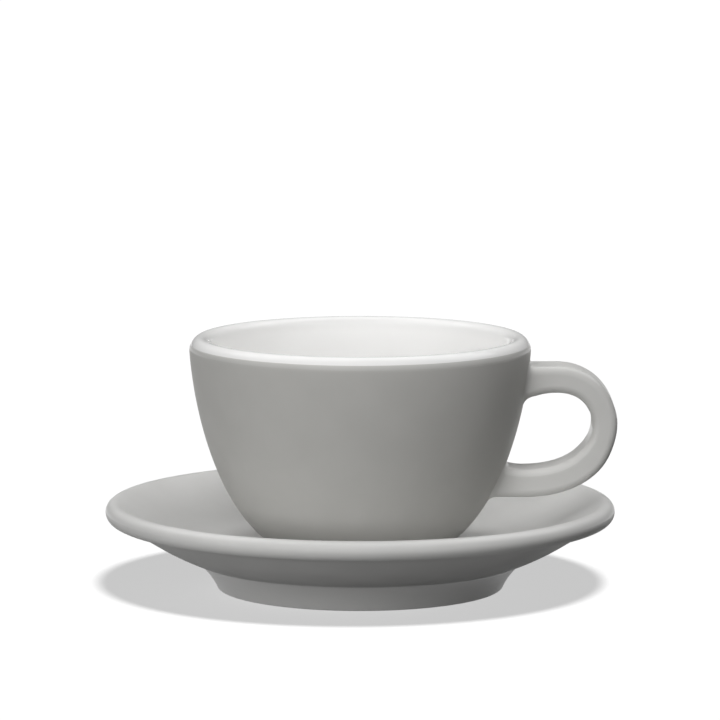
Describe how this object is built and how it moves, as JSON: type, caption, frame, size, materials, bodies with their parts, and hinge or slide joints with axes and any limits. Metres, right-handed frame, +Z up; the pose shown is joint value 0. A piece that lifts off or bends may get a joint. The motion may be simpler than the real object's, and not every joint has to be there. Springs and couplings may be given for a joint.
{
  "type": "cappuccino cup with saucer",
  "caption": "Thick-walled ceramic cappuccino cup with an ear handle, standing loose in the well of a round saucer with a rolled lip and a coved foot ring.",
  "frame": {"origin": "on the table, under the middle of the saucer", "axes": "+X towards the cup's handle, +Z up, along the way the cup lifts off"},
  "size_m": [0.1404, 0.14, 0.0694],
  "materials": {
    "grey_glaze": "satin",
    "white_glaze": "gloss",
    "bare_foot": "unglazed"
  },
  "bodies": {
    "saucer": {"saucer": "grey_glaze"},
    "cup": {"cup_bowl": "grey_glaze", "cup_handle": "grey_glaze"}
  },
  "joints": [
    {"name": "cup_lift", "type": "slide", "parent": "saucer", "child": "cup", "axis": [0, 0, 1], "range_m": [0, 0.1]}
  ]
}
